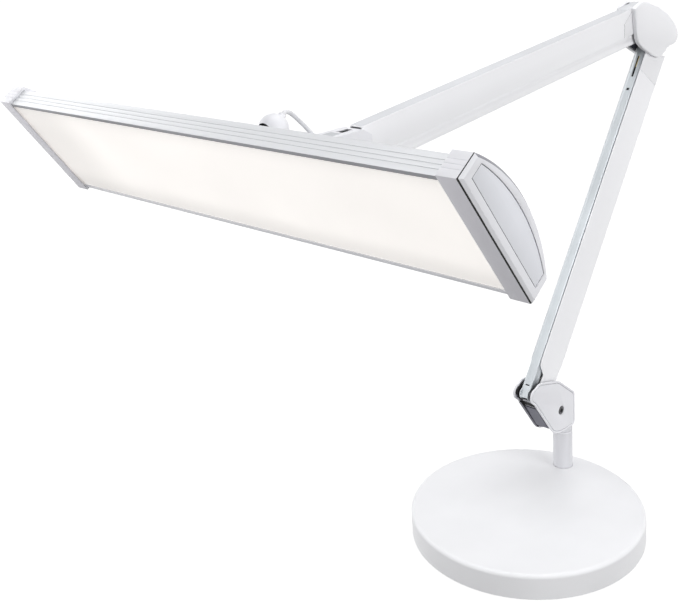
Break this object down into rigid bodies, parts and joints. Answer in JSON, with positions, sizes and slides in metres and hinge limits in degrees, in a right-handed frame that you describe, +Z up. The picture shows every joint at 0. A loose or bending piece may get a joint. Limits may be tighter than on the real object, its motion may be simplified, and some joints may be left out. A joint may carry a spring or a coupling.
{
  "type": "led task lamp",
  "caption": "White desk task lamp: long lit panel head on a tilting knuckle, double parallelogram arm with cheek covers, round weighted base.",
  "frame": {"origin": "middle of the base's underside, on the ground", "axes": "+Z up, the arm reaches to -Y, +X to the right seen from the front"},
  "size_m": [0.507, 0.71, 0.523],
  "materials": {
    "white_enamel": "satin white enamel",
    "arm_enamel": "satin white enamel",
    "white_plastic": "fine matt white moulding",
    "bare_steel": "plain steel",
    "dark_rubber": "matt dark",
    "pin_steel": "turned steel",
    "screw_steel": "blackened steel",
    "dark_frame": "dark grey enamel",
    "link_zinc": "zinc plated strip",
    "head_silver": "silver white extrusion",
    "cap_plastic": "fine matt silver white moulding",
    "panel_plastic": "fine grained light grey",
    "diffuser_acrylic": "opal sheet, lit from behind",
    "board_aluminium": "plain",
    "chip_phosphor": "lit chips",
    "lead_jacket": "smooth white jacket",
    "button_plastic": "matt"
  },
  "bodies": {
    "base": {"base_cover": "white_enamel", "base_weight": "bare_steel", "base_pad": "dark_rubber", "base_screws": "pin_steel", "post_sleeve": "white_enamel", "sleeve_nut": "pin_steel", "sleeve_bush": "white_plastic"},
    "bracket": {"swivel_spigot": "white_enamel", "bracket_frame": "dark_frame", "bracket_cover_right": "white_plastic", "bracket_cover_left": "white_plastic", "clamp_screw": "screw_steel", "clamp_nut": "screw_steel", "arm_pivot_pin": "pin_steel", "link_pivot_pin": "pin_steel", "bracket_washers": "dark_rubber"},
    "lower_arm": {"lower_arm_channel": "arm_enamel", "lower_arm_cap": "white_plastic", "lower_spring": "pin_steel", "lower_hook_pin": "pin_steel"},
    "lower_link": {"lower_link_channel": "link_zinc"},
    "elbow": {"elbow_frame": "dark_frame", "elbow_cover_right": "white_plastic", "elbow_cover_left": "white_plastic", "elbow_screws": "pin_steel", "elbow_pins": "pin_steel", "elbow_washers": "dark_rubber"},
    "upper_arm": {"upper_arm_channel": "arm_enamel", "upper_arm_cap": "white_plastic", "upper_spring": "pin_steel", "upper_hook_pin": "pin_steel"},
    "upper_link": {"upper_link_channel": "link_zinc"},
    "head_bracket": {"head_bracket": "bare_steel", "arm_end_cover": "white_plastic", "head_bracket_pins": "pin_steel", "head_bracket_washers": "dark_rubber"},
    "knuckle": {"knuckle_body": "white_plastic", "swivel_pin": "pin_steel", "swivel_washer": "dark_rubber", "lead_gland": "white_plastic", "head_lead": "lead_jacket"},
    "head": {"head_housing": "head_silver", "end_cap_right": "cap_plastic", "end_cap_left": "cap_plastic", "cap_panel_right": "panel_plastic", "cap_panel_left": "panel_plastic", "cap_screws": "pin_steel", "diffuser": "diffuser_acrylic", "light_board": "board_aluminium", "light_chips": "chip_phosphor", "driver_box": "white_plastic", "head_mount": "white_plastic", "mount_screws": "pin_steel", "tilt_pin": "pin_steel"},
    "power_button": {"power_button": "button_plastic"},
    "dimmer_button": {"dimmer_button": "button_plastic"}
  },
  "joints": [
    {"name": "base_swivel", "type": "hinge", "parent": "base", "child": "bracket", "pos_m": [-0.017, 0.0945, 0.07625], "axis": [0, 0, 1], "continuous": true},
    {"name": "lower_arm_tilt", "type": "hinge", "parent": "bracket", "child": "lower_arm", "pos_m": [-0.017, 0.0505, 0.13095], "axis": [1, 0, 0], "range_deg": [-5, 55], "deforming": ["lower_spring"]},
    {"name": "lower_link_tilt", "type": "hinge", "parent": "bracket", "child": "lower_link", "pos_m": [-0.017, 0.0285, 0.13695], "axis": [1, 0, 0], "range_deg": [-7, 57]},
    {"name": "elbow_level", "type": "hinge", "parent": "lower_arm", "child": "elbow", "pos_m": [-0.017, 0.29965, 0.47896], "axis": [1, 0, 0], "range_deg": [-57, 7]},
    {"name": "upper_arm_tilt", "type": "hinge", "parent": "elbow", "child": "upper_arm", "pos_m": [-0.017, 0.26055, 0.50696], "axis": [1, 0, 0], "range_deg": [-45, 9], "deforming": ["upper_spring"]},
    {"name": "upper_link_tilt", "type": "hinge", "parent": "elbow", "child": "upper_link", "pos_m": [-0.017, 0.26255, 0.48596], "axis": [1, 0, 0], "range_deg": [-47, 14]},
    {"name": "head_level", "type": "hinge", "parent": "upper_arm", "child": "head_bracket", "pos_m": [-0.017, -0.21149, 0.45401], "axis": [1, 0, 0], "range_deg": [-14, 47]},
    {"name": "head_swivel", "type": "hinge", "parent": "head_bracket", "child": "knuckle", "pos_m": [-0.017, -0.29399, 0.46301], "axis": [0, 0, 1], "range_deg": [-45, 45], "deforming": ["head_lead"]},
    {"name": "head_tilt", "type": "hinge", "parent": "knuckle", "child": "head", "pos_m": [-0.017, -0.31199, 0.47251], "axis": [1, 0, 0], "range_deg": [-45, 45]},
    {"name": "power_button_press", "type": "slide", "parent": "head", "child": "power_button", "axis": [0, -0.8141, -0.5807], "range_m": [0, 0.0012], "stiffness_N_per_m": 600},
    {"name": "dimmer_button_press", "type": "slide", "parent": "head", "child": "dimmer_button", "axis": [0, -0.8141, -0.5807], "range_m": [0, 0.0012], "stiffness_N_per_m": 600}
  ],
  "couplings": [
    {"joint": "lower_link_tilt", "follows": "lower_arm_tilt", "ratio": 1},
    {"joint": "elbow_level", "follows": "lower_arm_tilt", "ratio": -1},
    {"joint": "upper_link_tilt", "follows": "upper_arm_tilt", "ratio": 1},
    {"joint": "head_level", "follows": "upper_arm_tilt", "ratio": -1}
  ]
}
